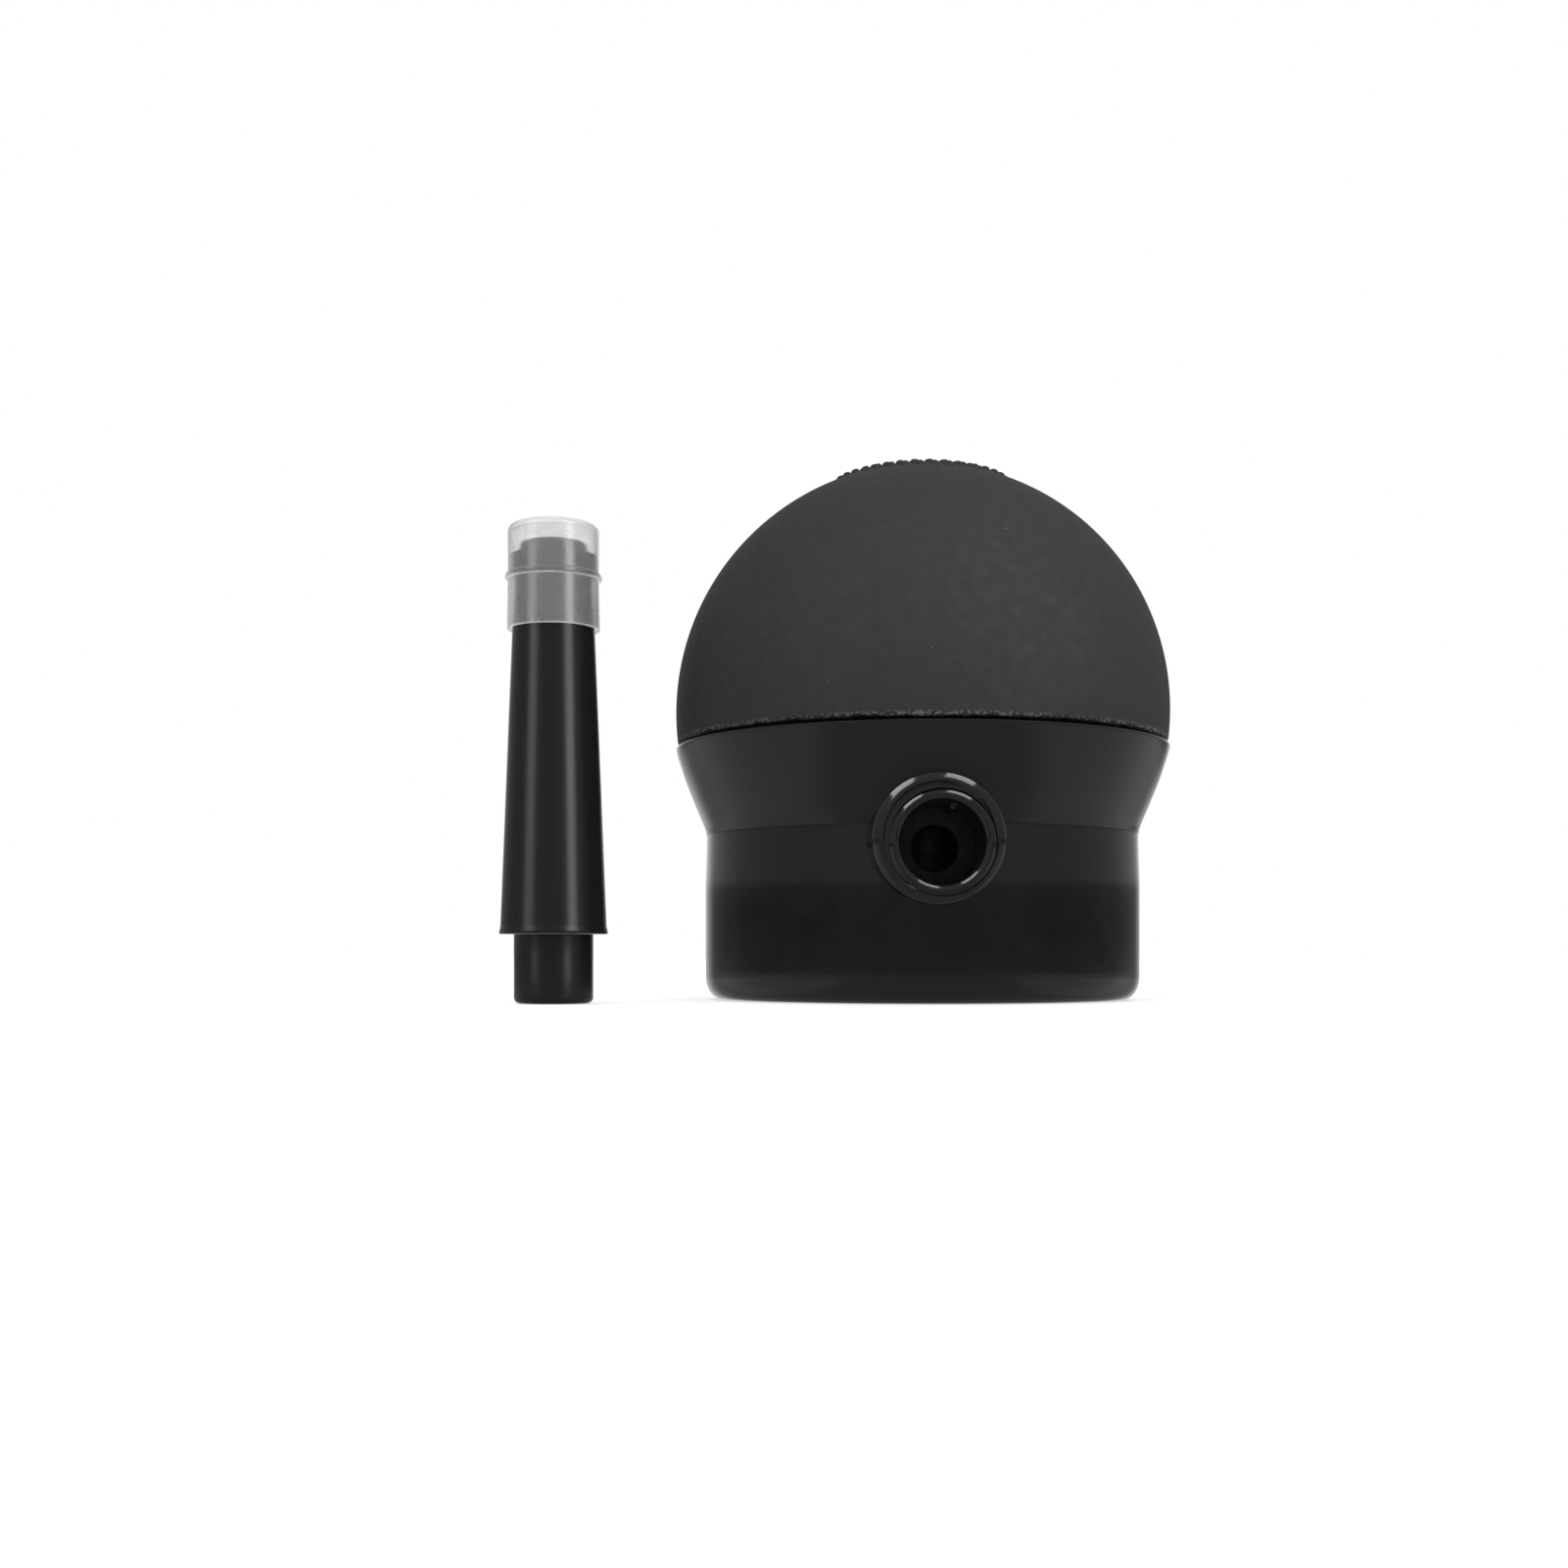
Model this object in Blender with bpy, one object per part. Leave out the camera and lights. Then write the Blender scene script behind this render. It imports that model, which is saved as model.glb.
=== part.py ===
"""Squeeze-bulb powder blower: a rubber bulb on a pump housing that screws onto a bottle, with its plug-in nozzle
standing beside it. Metres, +Z up, everything at rest on the plane z = 0."""

import math

import bmesh
import bpy
from mathutils import Matrix, Vector

MM = 0.001
GAP = 0.3 * MM  # clearance left wherever two separate pieces touch

# Housing: a skirt over the bottle neck, a slim waist and a flared rim that carries the bulb
SKIRT_R = 22.0 * MM
SKIRT_BORE_R = 19.6 * MM
BOTTOM_ROUND_WIDTH = 1.6 * MM
BOTTOM_ROUND_HEIGHT = 2.2 * MM
WAIST_R = 21.9 * MM
WAIST_Z = 16.2 * MM
SKIRT_TOP_Z = 13.2 * MM
FLARE_STEPS = 8
FLARE_EARLY_SHARE = 0.58  # how much of the flare's curve is the one that swells early
FLARE_POWER = 1.35
RIM_R = 25.0 * MM
RIM_Z = 25.5 * MM
RIM_EDGE_ROUND = 0.4 * MM
RIM_BORE_R = 22.75 * MM
LEDGE_Z = 21.6 * MM
DECK_Z = 7.6 * MM
DECK_THICK = 1.3 * MM
DECK_HOLE_R = 12.5 * MM

# Bottle thread and gasket
THREAD_RIDGE = 0.9 * MM
THREAD_HALF_WIDTH = 0.9 * MM
THREAD_HALF_CREST = 0.2 * MM
THREAD_ROOT = 0.5 * MM  # how far the ridge reaches into the skirt's wall
THREAD_FADE_STEPS = 4
THREAD_PITCH = 2.8 * MM
THREAD_START_Z = 2.0 * MM
THREAD_TURNS = 1.25
GASKET_INNER_R = 14.0 * MM
GASKET_OUTER_R = 18.5 * MM
GASKET_THICK = 1.1 * MM

# Bulb: a sphere with a turned-in neck and lip
BULB_R = 25.0 * MM
BULB_CENTRE_Z = 29.0 * MM
BULB_WALL = 1.8 * MM
BULB_EDGE_Z = 26.2 * MM
BULB_SPLIT_Z = 44.0 * MM  # above this the crown travels as one piece when the bulb is pressed
NECK_R = 22.4 * MM
LIP_INNER_R = 18.6 * MM
LIP_THICK = 1.4 * MM
BULB_EDGE_ROUND = 0.6 * MM
PAD_R = 8.7 * MM
PAD_HEIGHT = 0.4 * MM

# Valve plate, on the housing's ledge, and the pieces that it carries
PLATE_THICK = 1.4 * MM
INTAKE_Y = 9.5 * MM  # the intake valve's axis, behind the plate's centre
VALVE_HOLE_R = 2.0 * MM
VALVE_DISC_R = 3.3 * MM
VALVE_DISC_THICK = 0.7 * MM
VALVE_TRAVEL = 1.0 * MM
SOCKET_WALL = 1.0 * MM
AIR_SOCKET_DEPTH = 3.0 * MM
SIEVE_SOCKET_DEPTH = 1.4 * MM
CLAMP_WALL = 1.1 * MM
CLAMP_FLANGE_THICK = 1.2 * MM
AIR_TUBE_HEAD_R = 4.4 * MM
AIR_TUBE_R = 2.9 * MM
AIR_TUBE_BORE_R = 1.9 * MM
AIR_TUBE_SHOULDER = 1.5 * MM
AIR_TUBE_END_Z = 6.6 * MM  # the elbow ends at the same height
SIEVE_R = 3.4 * MM
SIEVE_THICK = 0.5 * MM
SIEVE_HOLE_R = 0.45 * MM
SIEVE_HOLES = 6

# Outlet port, facing -Y
PORT_Z = 14.4 * MM
PORT_REACH = 26.6 * MM  # from the pump's axis to the port's front face
PORT_FLARE_R = 6.0 * MM
PORT_NECK_R = 5.0 * MM
PORT_NECK_END = 23.2 * MM
COLLAR_ROUND = 0.65 * MM
PORT_BORE_R = 4.75 * MM
SLEEVE_R = 4.45 * MM
SLEEVE_BORE_R = 3.75 * MM
SLEEVE_INNER_END = 16.0 * MM
SEAL_THICK_R = 0.35 * MM
SEAL_FROM_END = 1.2 * MM
ELBOW_R = 3.1 * MM
ELBOW_BORE_R = 2.2 * MM
ELBOW_DROP_Y = 7.2 * MM
ELBOW_BEND_R = 4.6 * MM

# Nozzle, standing on its plug end
PLUG_R = 3.65 * MM
PLUG_LENGTH = 6.4 * MM
PLUG_ROUND = 0.6 * MM
SHOULDER_HEIGHT = 0.6 * MM
SHOULDER_DRAFT = 0.1 * MM
NOZZLE_BASE_R = 5.0 * MM
NOZZLE_TOP_R = 3.6 * MM
NOZZLE_TOP_Z = 39.3 * MM
NOZZLE_BORE_R = 2.8 * MM
TIP_RING_R = 3.8 * MM
TIP_RING_TOP_Z = 41.4 * MM
TIP_CROWN_R = 3.1 * MM
TIP_TOP_Z = 42.5 * MM
TIP_STEM_END_Z = 36.5 * MM
TIP_STEM_WALL = 0.8 * MM
TIP_HOLE_R = 1.0 * MM
CAP_R = 4.25 * MM
CAP_WALL = 0.3 * MM
CAP_BEAD_R = 4.45 * MM
CAP_BEAD_Z = 39.35 * MM
CAP_BOTTOM_Z = 34.5 * MM
CAP_TOP_Z = 44.2 * MM
CAP_TOP_WALL = 0.6 * MM
CAP_CORNER_R = 0.75 * MM

# Where the nozzle stands, from the pump's axis
NOZZLE_OFFSET_X = -35.3 * MM
NOZZLE_OFFSET_Y = -18.0 * MM

# The origin is the middle of the whole set's footprint
PUMP_X = -(RIM_R + NOZZLE_OFFSET_X - NOZZLE_BASE_R) / 2
PUMP_Y = -(RIM_R - PORT_REACH) / 2
NOZZLE_X = PUMP_X + NOZZLE_OFFSET_X
NOZZLE_Y = PUMP_Y + NOZZLE_OFFSET_Y

# Facets round each turned piece
BIG_STEPS = 44
PORT_STEPS = 28
SMALL_STEPS = 24

# Linear colours
BLACK_PLASTIC = (0.006, 0.006, 0.0062)
DARK_RUBBER = (0.018, 0.018, 0.0184)
SEAL_RUBBER = (0.02, 0.02, 0.021)
GREY_PLASTIC = (0.03, 0.03, 0.032)
FROSTED_PLASTIC = (0.62, 0.63, 0.64)


def clear_scene():
    for obj in list(bpy.data.objects):
        bpy.data.objects.remove(obj, do_unlink=True)


def material(name, colour, roughness):
    made = bpy.data.materials.new(name)
    made.use_nodes = True
    shader = made.node_tree.nodes["Principled BSDF"]
    shader.inputs["Base Color"].default_value = (*colour, 1)
    shader.inputs["Roughness"].default_value = roughness
    shader.inputs["Metallic"].default_value = 0
    return made


def arc(centre_r, centre_z, radius, start_deg, end_deg, points):
    """Points (r, z) along an arc; 0 degrees points outward and 90 up."""
    turn = [math.radians(start_deg + (end_deg - start_deg) * i / (points - 1)) for i in range(points)]
    return [(centre_r + radius * math.cos(a), centre_z + radius * math.sin(a)) for a in turn]


def sphere_r(radius, z):
    """The bulb's radius about its axis, at height z, for a sphere of this radius."""
    return math.sqrt(radius**2 - (z - BULB_CENTRE_Z) ** 2)


def sphere_arc(radius, start_z, end_z, points):
    """Points (r, z) on a sphere about the bulb's centre, between two heights."""
    start = math.degrees(math.asin((start_z - BULB_CENTRE_Z) / radius))
    end = math.degrees(math.asin((end_z - BULB_CENTRE_Z) / radius))
    return arc(0, BULB_CENTRE_Z, radius, start, end, points)


def add_object(name, bm, finish, parent=None):
    mesh = bpy.data.meshes.new(name)
    bm.to_mesh(mesh)
    bm.free()
    mesh.materials.append(finish)
    mesh.shade_smooth()
    mesh.set_sharp_from_angle(angle=math.radians(35))
    obj = bpy.data.objects.new(name, mesh)
    bpy.context.scene.collection.objects.link(obj)
    obj.parent = parent
    return obj


def turned_mesh(profile, steps):
    """A body of revolution about Z. The profile is closed by itself, or starts and ends on the axis."""
    bm = bmesh.new()
    verts = [bm.verts.new((r, 0, z)) for r, z in profile]
    edges = [bm.edges.new(pair) for pair in zip(verts, verts[1:])]
    if profile[0][0] > 0:
        edges.append(bm.edges.new((verts[-1], verts[0])))
    bmesh.ops.spin(
        bm, geom=verts + edges, cent=(0, 0, 0), axis=(0, 0, 1), angle=math.tau, steps=steps, use_merge=True
    )
    bmesh.ops.remove_doubles(bm, verts=bm.verts, dist=1e-6)
    bmesh.ops.recalc_face_normals(bm, faces=bm.faces)
    return bm


def turned(name, profile, steps, finish, parent, place=(0, 0, 0)):
    obj = add_object(name, turned_mesh(profile, steps), finish, parent)
    obj.location = place
    return obj


def turned_along_port(name, profile, finish, parent):
    """Like turned, with the profile's z as the distance from the pump's axis towards -Y, at the port's height."""
    bm = turned_mesh(profile, PORT_STEPS)
    bmesh.ops.rotate(bm, verts=bm.verts, cent=(0, 0, 0), matrix=Matrix.Rotation(math.radians(90), 3, "X"))
    obj = add_object(name, bm, finish, parent)
    obj.location = (0, 0, PORT_Z)
    return obj


def swept_section(name, rings, closed_ring, finish, parent):
    """Joins rings of points, each the next section along a sweep, and caps the ends unless each ring is a pair."""
    bm = bmesh.new()
    made = [[bm.verts.new(point) for point in ring] for ring in rings]
    for here, there in zip(made, made[1:] + made[:1] if closed_ring else made[1:]):
        for i in range(len(here)):
            j = (i + 1) % len(here)
            bm.faces.new((here[i], here[j], there[j], there[i]))
    if not closed_ring:
        bm.faces.new(made[0])
        bm.faces.new(made[-1])
    bmesh.ops.recalc_face_normals(bm, faces=bm.faces)
    return add_object(name, bm, finish, parent)


def pipe(name, path, outer_r, bore_r, finish, parent):
    """A round pipe along a path in the YZ plane: out along its outside, and back along its bore."""
    rings = []
    for radius, points in ((outer_r, path), (bore_r, path[::-1])):
        for i, point in enumerate(points):
            ahead = points[min(i + 1, len(points) - 1)] - points[max(i - 1, 0)]
            ahead = ahead.normalized() if radius == outer_r else -ahead.normalized()
            across = Vector((1, 0, 0))
            up = ahead.cross(across)
            turn = [math.tau * k / SMALL_STEPS for k in range(SMALL_STEPS)]
            rings.append([point + radius * (math.cos(a) * across + math.sin(a) * up) for a in turn])
    return swept_section(name, rings, True, finish, parent)


def helper(obj):
    """Marks an object that only cuts or joins another."""
    obj.hide_render = True
    obj.display_type = "WIRE"
    return obj


def boolean(target, other, operation):
    modifier = target.modifiers.new(other.name, "BOOLEAN")
    modifier.operation = operation
    modifier.object = helper(other)


def housing_outline():
    """The housing's outside from its bottom edge to the top of its rim."""
    rounding = [
        (SKIRT_R - BOTTOM_ROUND_WIDTH * (1 - math.sin(a)), BOTTOM_ROUND_HEIGHT * (1 - math.cos(a)))
        for a in (math.radians(30 * i) for i in range(4))
    ]
    flare = []
    for i in range(FLARE_STEPS + 1):
        share = i / FLARE_STEPS
        # An S curve: upright at the waist, steepest below the middle, and nearly upright again at the rim
        even_s = share**2 * (3 - 2 * share)
        early_s = math.sin(share * math.pi / 2) ** FLARE_POWER
        swell = even_s + (early_s - even_s) * FLARE_EARLY_SHARE
        z = WAIST_Z + (RIM_Z - RIM_EDGE_ROUND - WAIST_Z) * share
        flare.append((WAIST_R + (RIM_R - WAIST_R) * swell, z))
    edge = [(RIM_R - RIM_EDGE_ROUND / 3, RIM_Z - RIM_EDGE_ROUND / 4), (RIM_R - RIM_EDGE_ROUND, RIM_Z)]
    return rounding + [(SKIRT_R, SKIRT_TOP_Z)] + flare + edge


def add_thread(finish, parent):
    """One ridge inside the skirt, of triangular section, that fades out at both ends."""
    steps = round(THREAD_TURNS * BIG_STEPS)
    root_r = SKIRT_BORE_R + THREAD_ROOT
    rings = []
    for i in range(steps + 1):
        angle = math.tau * i / BIG_STEPS
        fade = min(1, i / THREAD_FADE_STEPS, (steps - i) / THREAD_FADE_STEPS)
        buried_r = SKIRT_BORE_R + THREAD_ROOT / 5
        crest_r = buried_r - (THREAD_RIDGE + THREAD_ROOT / 5) * fade
        z = THREAD_START_Z + THREAD_PITCH * i / BIG_STEPS
        section = (
            (root_r, z - THREAD_HALF_WIDTH),
            (crest_r, z - THREAD_HALF_CREST),
            (crest_r, z + THREAD_HALF_CREST),
            (root_r, z + THREAD_HALF_WIDTH),
        )
        rings.append([(r * math.cos(angle), r * math.sin(angle), height) for r, height in section])
    return swept_section("thread_ridge", rings, False, finish, parent)


def add_housing(plastic, parent):
    outside = housing_outline()
    inside = [
        (RIM_BORE_R, RIM_Z),
        (RIM_BORE_R, LEDGE_Z),
        (SKIRT_BORE_R, LEDGE_Z),
        (SKIRT_BORE_R, DECK_Z + DECK_THICK),
        (DECK_HOLE_R, DECK_Z + DECK_THICK),
        (DECK_HOLE_R, DECK_Z),
        (SKIRT_BORE_R, DECK_Z),
        (SKIRT_BORE_R, 0),
    ]
    housing = turned("housing", outside + inside, BIG_STEPS, plastic, parent)
    boolean(housing, add_thread(plastic, parent), "UNION")
    boolean(housing, add_port_boss(plastic, parent), "UNION")
    past_front = 2 * PORT_REACH - SKIRT_BORE_R
    bore = [(0, SLEEVE_INNER_END), (PORT_BORE_R, SLEEVE_INNER_END), (PORT_BORE_R, past_front), (0, past_front)]
    cutter = turned_along_port("port_bore", bore, plastic, parent)
    cutter.rotation_euler.y = math.pi / PORT_STEPS  # half a facet, so that its corners miss the boss's own
    boolean(housing, cutter, "DIFFERENCE")
    return housing


def add_port_boss(plastic, parent):
    """A short trumpet that ends in a rounded collar with a narrow flat front."""
    root = (SKIRT_BORE_R + SKIRT_R) / 2
    collar = arc(PORT_FLARE_R - COLLAR_ROUND, PORT_REACH - COLLAR_ROUND, COLLAR_ROUND, -30, 90, 5)
    profile = [(0, root), (PORT_NECK_R, root), (PORT_NECK_R, PORT_NECK_END)] + collar + [(0, PORT_REACH)]
    return turned_along_port("port_boss", profile, plastic, parent)


def add_bulb(rubber, parent):
    """The fixed and folding part of the bulb: its lip and neck in the rim, and the wall up to the crown."""
    lip_z = LEDGE_Z + GAP + PLATE_THICK + GAP
    inner_r = BULB_R - BULB_WALL
    edge_z = BULB_EDGE_Z + BULB_EDGE_ROUND
    wall = sphere_arc(BULB_R, BULB_SPLIT_Z, edge_z, 9)
    edge = arc(sphere_r(BULB_R, edge_z) - BULB_EDGE_ROUND, edge_z, BULB_EDGE_ROUND, -30, -90, 3)
    neck = [
        (NECK_R, BULB_EDGE_Z),
        (NECK_R, lip_z),
        (LIP_INNER_R, lip_z),
        (LIP_INNER_R, lip_z + LIP_THICK),
        (NECK_R - BULB_WALL, lip_z + LIP_THICK),
        (NECK_R - BULB_WALL, BULB_EDGE_Z + GAP),
    ]
    inside = sphere_arc(inner_r, BULB_CENTRE_Z - GAP, BULB_SPLIT_Z, 8)
    return turned("bulb", wall + edge + neck + inside, BIG_STEPS, rubber, parent)


def add_bulb_crown(rubber, parent):
    """The top of the bulb, with the raised grip pad that a thumb presses."""
    bottom = BULB_SPLIT_Z + GAP
    inner_r = BULB_R - BULB_WALL
    pad_edge_z = BULB_CENTRE_Z + math.sqrt(BULB_R**2 - PAD_R**2)
    pad_top = sphere_arc(BULB_R + PAD_HEIGHT, BULB_CENTRE_Z + BULB_R + PAD_HEIGHT, pad_edge_z + PAD_HEIGHT, 5)
    outside = sphere_arc(BULB_R, pad_edge_z, bottom, 5)
    inside = sphere_arc(inner_r, bottom, BULB_CENTRE_Z + inner_r, 7)
    profile = [(0, pad_top[0][1])] + pad_top[1:] + outside + inside[:-1] + [(0, inside[-1][1])]
    return turned("bulb_crown", profile, BIG_STEPS, rubber, parent)


def add_clamp_ring(plastic, parent):
    """Pinches the bulb's lip down onto the valve plate."""
    plate_top = LEDGE_Z + GAP + PLATE_THICK
    lip_top = plate_top + GAP + LIP_THICK
    inner_r = LIP_INNER_R - GAP - CLAMP_WALL
    flange_r = NECK_R - BULB_WALL - GAP
    profile = [
        (flange_r, lip_top + GAP + CLAMP_FLANGE_THICK),
        (flange_r, lip_top + GAP),
        (LIP_INNER_R - GAP, lip_top + GAP),
        (LIP_INNER_R - GAP, plate_top + GAP),
        (inner_r, plate_top + GAP),
        (inner_r, lip_top + GAP + CLAMP_FLANGE_THICK),
    ]
    return turned("bulb_clamp_ring", profile, BIG_STEPS, plastic, parent)


def add_valve_plate(plastic, parent):
    """The floor of the bulb's chamber, with a socket under it for the air tube and one for the sieve."""
    bottom = LEDGE_Z + GAP
    socket_r = AIR_TUBE_HEAD_R + GAP
    socket_end = bottom - AIR_SOCKET_DEPTH
    profile = [
        (NECK_R, bottom + PLATE_THICK),
        (NECK_R, bottom),
        (socket_r + SOCKET_WALL, bottom),
        (socket_r + SOCKET_WALL, socket_end),
        (socket_r, socket_end),
        (socket_r, bottom),
        (VALVE_HOLE_R, bottom),
        (VALVE_HOLE_R, bottom + PLATE_THICK),
    ]
    plate = turned("valve_plate", profile, BIG_STEPS, plastic, parent)
    inside_plate = bottom + PLATE_THICK / 3
    socket = [
        (SIEVE_R + GAP + SOCKET_WALL, inside_plate),
        (SIEVE_R + GAP + SOCKET_WALL, bottom - SIEVE_SOCKET_DEPTH),
        (SIEVE_R + GAP, bottom - SIEVE_SOCKET_DEPTH),
        (SIEVE_R + GAP, inside_plate),
    ]
    boolean(plate, turned("sieve_socket", socket, SMALL_STEPS, plastic, parent, (0, INTAKE_Y, 0)), "UNION")
    hole = [(0, bottom + 2 * PLATE_THICK), (VALVE_HOLE_R, bottom + 2 * PLATE_THICK)]
    hole += [(VALVE_HOLE_R, bottom - PLATE_THICK), (0, bottom - PLATE_THICK)]
    boolean(plate, turned("intake_hole", hole, SMALL_STEPS, plastic, parent, (0, INTAKE_Y, 0)), "DIFFERENCE")
    return plate


def disc(radius, bottom, thick):
    return [(0, bottom + thick), (radius, bottom + thick), (radius, bottom), (0, bottom)]


def add_valves(rubber, parent):
    """Delivery disc under the plate, intake disc on top of it; each closes its hole at rest."""
    plate_bottom = LEDGE_Z + GAP
    plate_top = plate_bottom + PLATE_THICK
    delivery = disc(VALVE_DISC_R, plate_bottom - GAP - VALVE_DISC_THICK, VALVE_DISC_THICK)
    turned("delivery_valve", delivery, SMALL_STEPS, rubber, parent)
    intake = disc(VALVE_DISC_R, plate_top + GAP, VALVE_DISC_THICK)
    turned("intake_valve", intake, SMALL_STEPS, rubber, parent, (0, INTAKE_Y, 0))


def add_air_tube(plastic, parent):
    """Carries the bulb's air down into the bottle. Its wide head holds the delivery disc."""
    top = LEDGE_Z
    pocket_floor = top - VALVE_DISC_THICK - VALVE_TRAVEL - GAP
    head_end = pocket_floor - AIR_TUBE_SHOULDER
    profile = [
        (AIR_TUBE_HEAD_R, top),
        (AIR_TUBE_HEAD_R, head_end),
        (AIR_TUBE_R, head_end - AIR_TUBE_SHOULDER),
        (AIR_TUBE_R, AIR_TUBE_END_Z),
        (AIR_TUBE_BORE_R, AIR_TUBE_END_Z),
        (AIR_TUBE_BORE_R, pocket_floor),
        (VALVE_DISC_R + GAP, pocket_floor),
        (VALVE_DISC_R + GAP, top),
    ]
    return turned("air_tube", profile, SMALL_STEPS, plastic, parent)


def add_intake_cage(plastic, parent):
    """A cup with a vented top that keeps the intake disc over its hole."""
    bottom = LEDGE_Z + GAP + PLATE_THICK + GAP
    roof = bottom + VALVE_DISC_THICK + VALVE_TRAVEL + GAP
    outer_r = VALVE_DISC_R + GAP + SOCKET_WALL
    profile = [
        (outer_r, roof + SOCKET_WALL),
        (outer_r, bottom),
        (VALVE_DISC_R + GAP, bottom),
        (VALVE_DISC_R + GAP, roof),
        (VALVE_HOLE_R, roof),
        (VALVE_HOLE_R, roof + SOCKET_WALL),
    ]
    return turned("intake_valve_cage", profile, SMALL_STEPS, plastic, parent, (0, INTAKE_Y, 0))


def add_sieve(plastic, parent):
    """Keeps powder out of the intake valve."""
    bottom = LEDGE_Z - SIEVE_THICK
    blank = disc(SIEVE_R, bottom, SIEVE_THICK)
    sieve = turned("intake_sieve", blank, SMALL_STEPS, plastic, parent, (0, INTAKE_Y, 0))
    for i in range(SIEVE_HOLES):
        angle = math.tau * i / SIEVE_HOLES
        place = (SIEVE_R / 2 * math.cos(angle), INTAKE_Y + SIEVE_R / 2 * math.sin(angle), 0)
        hole = disc(SIEVE_HOLE_R, bottom - SIEVE_THICK, 3 * SIEVE_THICK)
        boolean(sieve, turned(f"sieve_hole_{i}", hole, 8, plastic, parent, place), "DIFFERENCE")
    return sieve


def add_outlet(plastic, rubber, parent):
    """The sleeve that the nozzle plugs into, the elbow behind it down to the bottle's mouth, and its seal."""
    front = PORT_REACH - GAP
    lip_r = (SLEEVE_R - SLEEVE_BORE_R) / 2
    lip = arc(SLEEVE_BORE_R + lip_r, front - lip_r, lip_r, 0, 180, 5)
    sleeve = [(SLEEVE_BORE_R, SLEEVE_INNER_END), (SLEEVE_R, SLEEVE_INNER_END)] + lip
    turned_along_port("port_sleeve", sleeve, plastic, parent)

    start = SLEEVE_INNER_END - GAP
    bend_start = -ELBOW_DROP_Y - ELBOW_BEND_R
    path = [Vector((0, -start, PORT_Z)), Vector((0, (bend_start - start) / 2, PORT_Z))]
    for i in range(7):
        angle = math.radians(15 * i)
        y = bend_start + ELBOW_BEND_R * math.sin(angle)
        path.append(Vector((0, y, PORT_Z - ELBOW_BEND_R * (1 - math.cos(angle)))))
    path.append(Vector((0, -ELBOW_DROP_Y, AIR_TUBE_END_Z)))
    pipe("outlet_elbow", path, ELBOW_R, ELBOW_BORE_R, plastic, parent)

    around = SLEEVE_R + GAP / 2 + SEAL_THICK_R
    seal = arc(around, SLEEVE_INNER_END + SEAL_FROM_END, SEAL_THICK_R, 0, 360, 9)[:-1]
    turned_along_port("port_seal", seal, rubber, parent)


def add_gasket(rubber, parent):
    top = DECK_Z - GAP
    profile = [
        (GASKET_OUTER_R, top),
        (GASKET_OUTER_R, top - GASKET_THICK),
        (GASKET_INNER_R, top - GASKET_THICK),
        (GASKET_INNER_R, top),
    ]
    return turned("bottle_gasket", profile, BIG_STEPS, rubber, parent)


def add_nozzle(plastic, parent):
    """A tapered tube: a plug that fits the port, a shoulder, and a long taper up to the tip."""
    corner = arc(PLUG_R - PLUG_ROUND, PLUG_ROUND, PLUG_ROUND, 0, -90, 4)
    profile = [
        (NOZZLE_TOP_R, NOZZLE_TOP_Z),
        (NOZZLE_BASE_R - SHOULDER_DRAFT, PLUG_LENGTH + SHOULDER_HEIGHT),
        (NOZZLE_BASE_R, PLUG_LENGTH),
        (PLUG_R, PLUG_LENGTH),
    ]
    profile += corner + [(NOZZLE_BORE_R, 0), (NOZZLE_BORE_R, NOZZLE_TOP_Z)]
    return turned("nozzle_tube", profile, SMALL_STEPS, plastic, parent)


def add_nozzle_tip(plastic, parent):
    """The insert that narrows the nozzle's end to a small round hole."""
    stem_r = NOZZLE_BORE_R - GAP
    shoulder_z = NOZZLE_TOP_Z + GAP
    profile = [
        (TIP_CROWN_R, TIP_TOP_Z),
        (TIP_CROWN_R, TIP_RING_TOP_Z),
        (TIP_RING_R, TIP_RING_TOP_Z),
        (TIP_RING_R, shoulder_z),
        (stem_r, shoulder_z),
        (stem_r, TIP_STEM_END_Z),
        (stem_r - TIP_STEM_WALL, TIP_STEM_END_Z),
        (TIP_HOLE_R, shoulder_z),
        (TIP_HOLE_R, TIP_TOP_Z),
    ]
    return turned("nozzle_tip", profile, SMALL_STEPS, plastic, parent)


def add_nozzle_cap(plastic, parent):
    """A thin cup over the tip, with a bead round its middle to pull it off by."""
    bead_half = CAP_BEAD_R - CAP_R
    corner = arc(CAP_R - CAP_CORNER_R, CAP_TOP_Z - CAP_CORNER_R, CAP_CORNER_R, 90, 0, 5)
    bead = [
        (CAP_R, CAP_BEAD_Z + 2 * bead_half),
        (CAP_BEAD_R, CAP_BEAD_Z + bead_half),
        (CAP_BEAD_R, CAP_BEAD_Z - bead_half),
        (CAP_R, CAP_BEAD_Z - 2 * bead_half),
    ]
    inner_r = CAP_R - CAP_WALL
    roof = CAP_TOP_Z - CAP_TOP_WALL
    inside = [(inner_r, CAP_BOTTOM_Z), (inner_r, roof), (0, roof)]
    profile = [(0, CAP_TOP_Z)] + corner + bead + [(CAP_R, CAP_BOTTOM_Z)] + inside
    return turned("nozzle_cap", profile, SMALL_STEPS, plastic, parent)


def add_pump(finishes):
    axis = bpy.data.objects.new("pump_axis", None)
    bpy.context.scene.collection.objects.link(axis)
    axis.location = (PUMP_X, PUMP_Y, 0)
    add_housing(finishes["black"], axis)
    add_bulb(finishes["bulb"], axis)
    add_bulb_crown(finishes["bulb"], axis)
    add_clamp_ring(finishes["grey"], axis)
    add_valve_plate(finishes["grey"], axis)
    add_valves(finishes["seal"], axis)
    add_air_tube(finishes["grey"], axis)
    add_intake_cage(finishes["grey"], axis)
    add_sieve(finishes["grey"], axis)
    add_outlet(finishes["black"], finishes["seal"], axis)
    add_gasket(finishes["seal"], axis)


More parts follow.
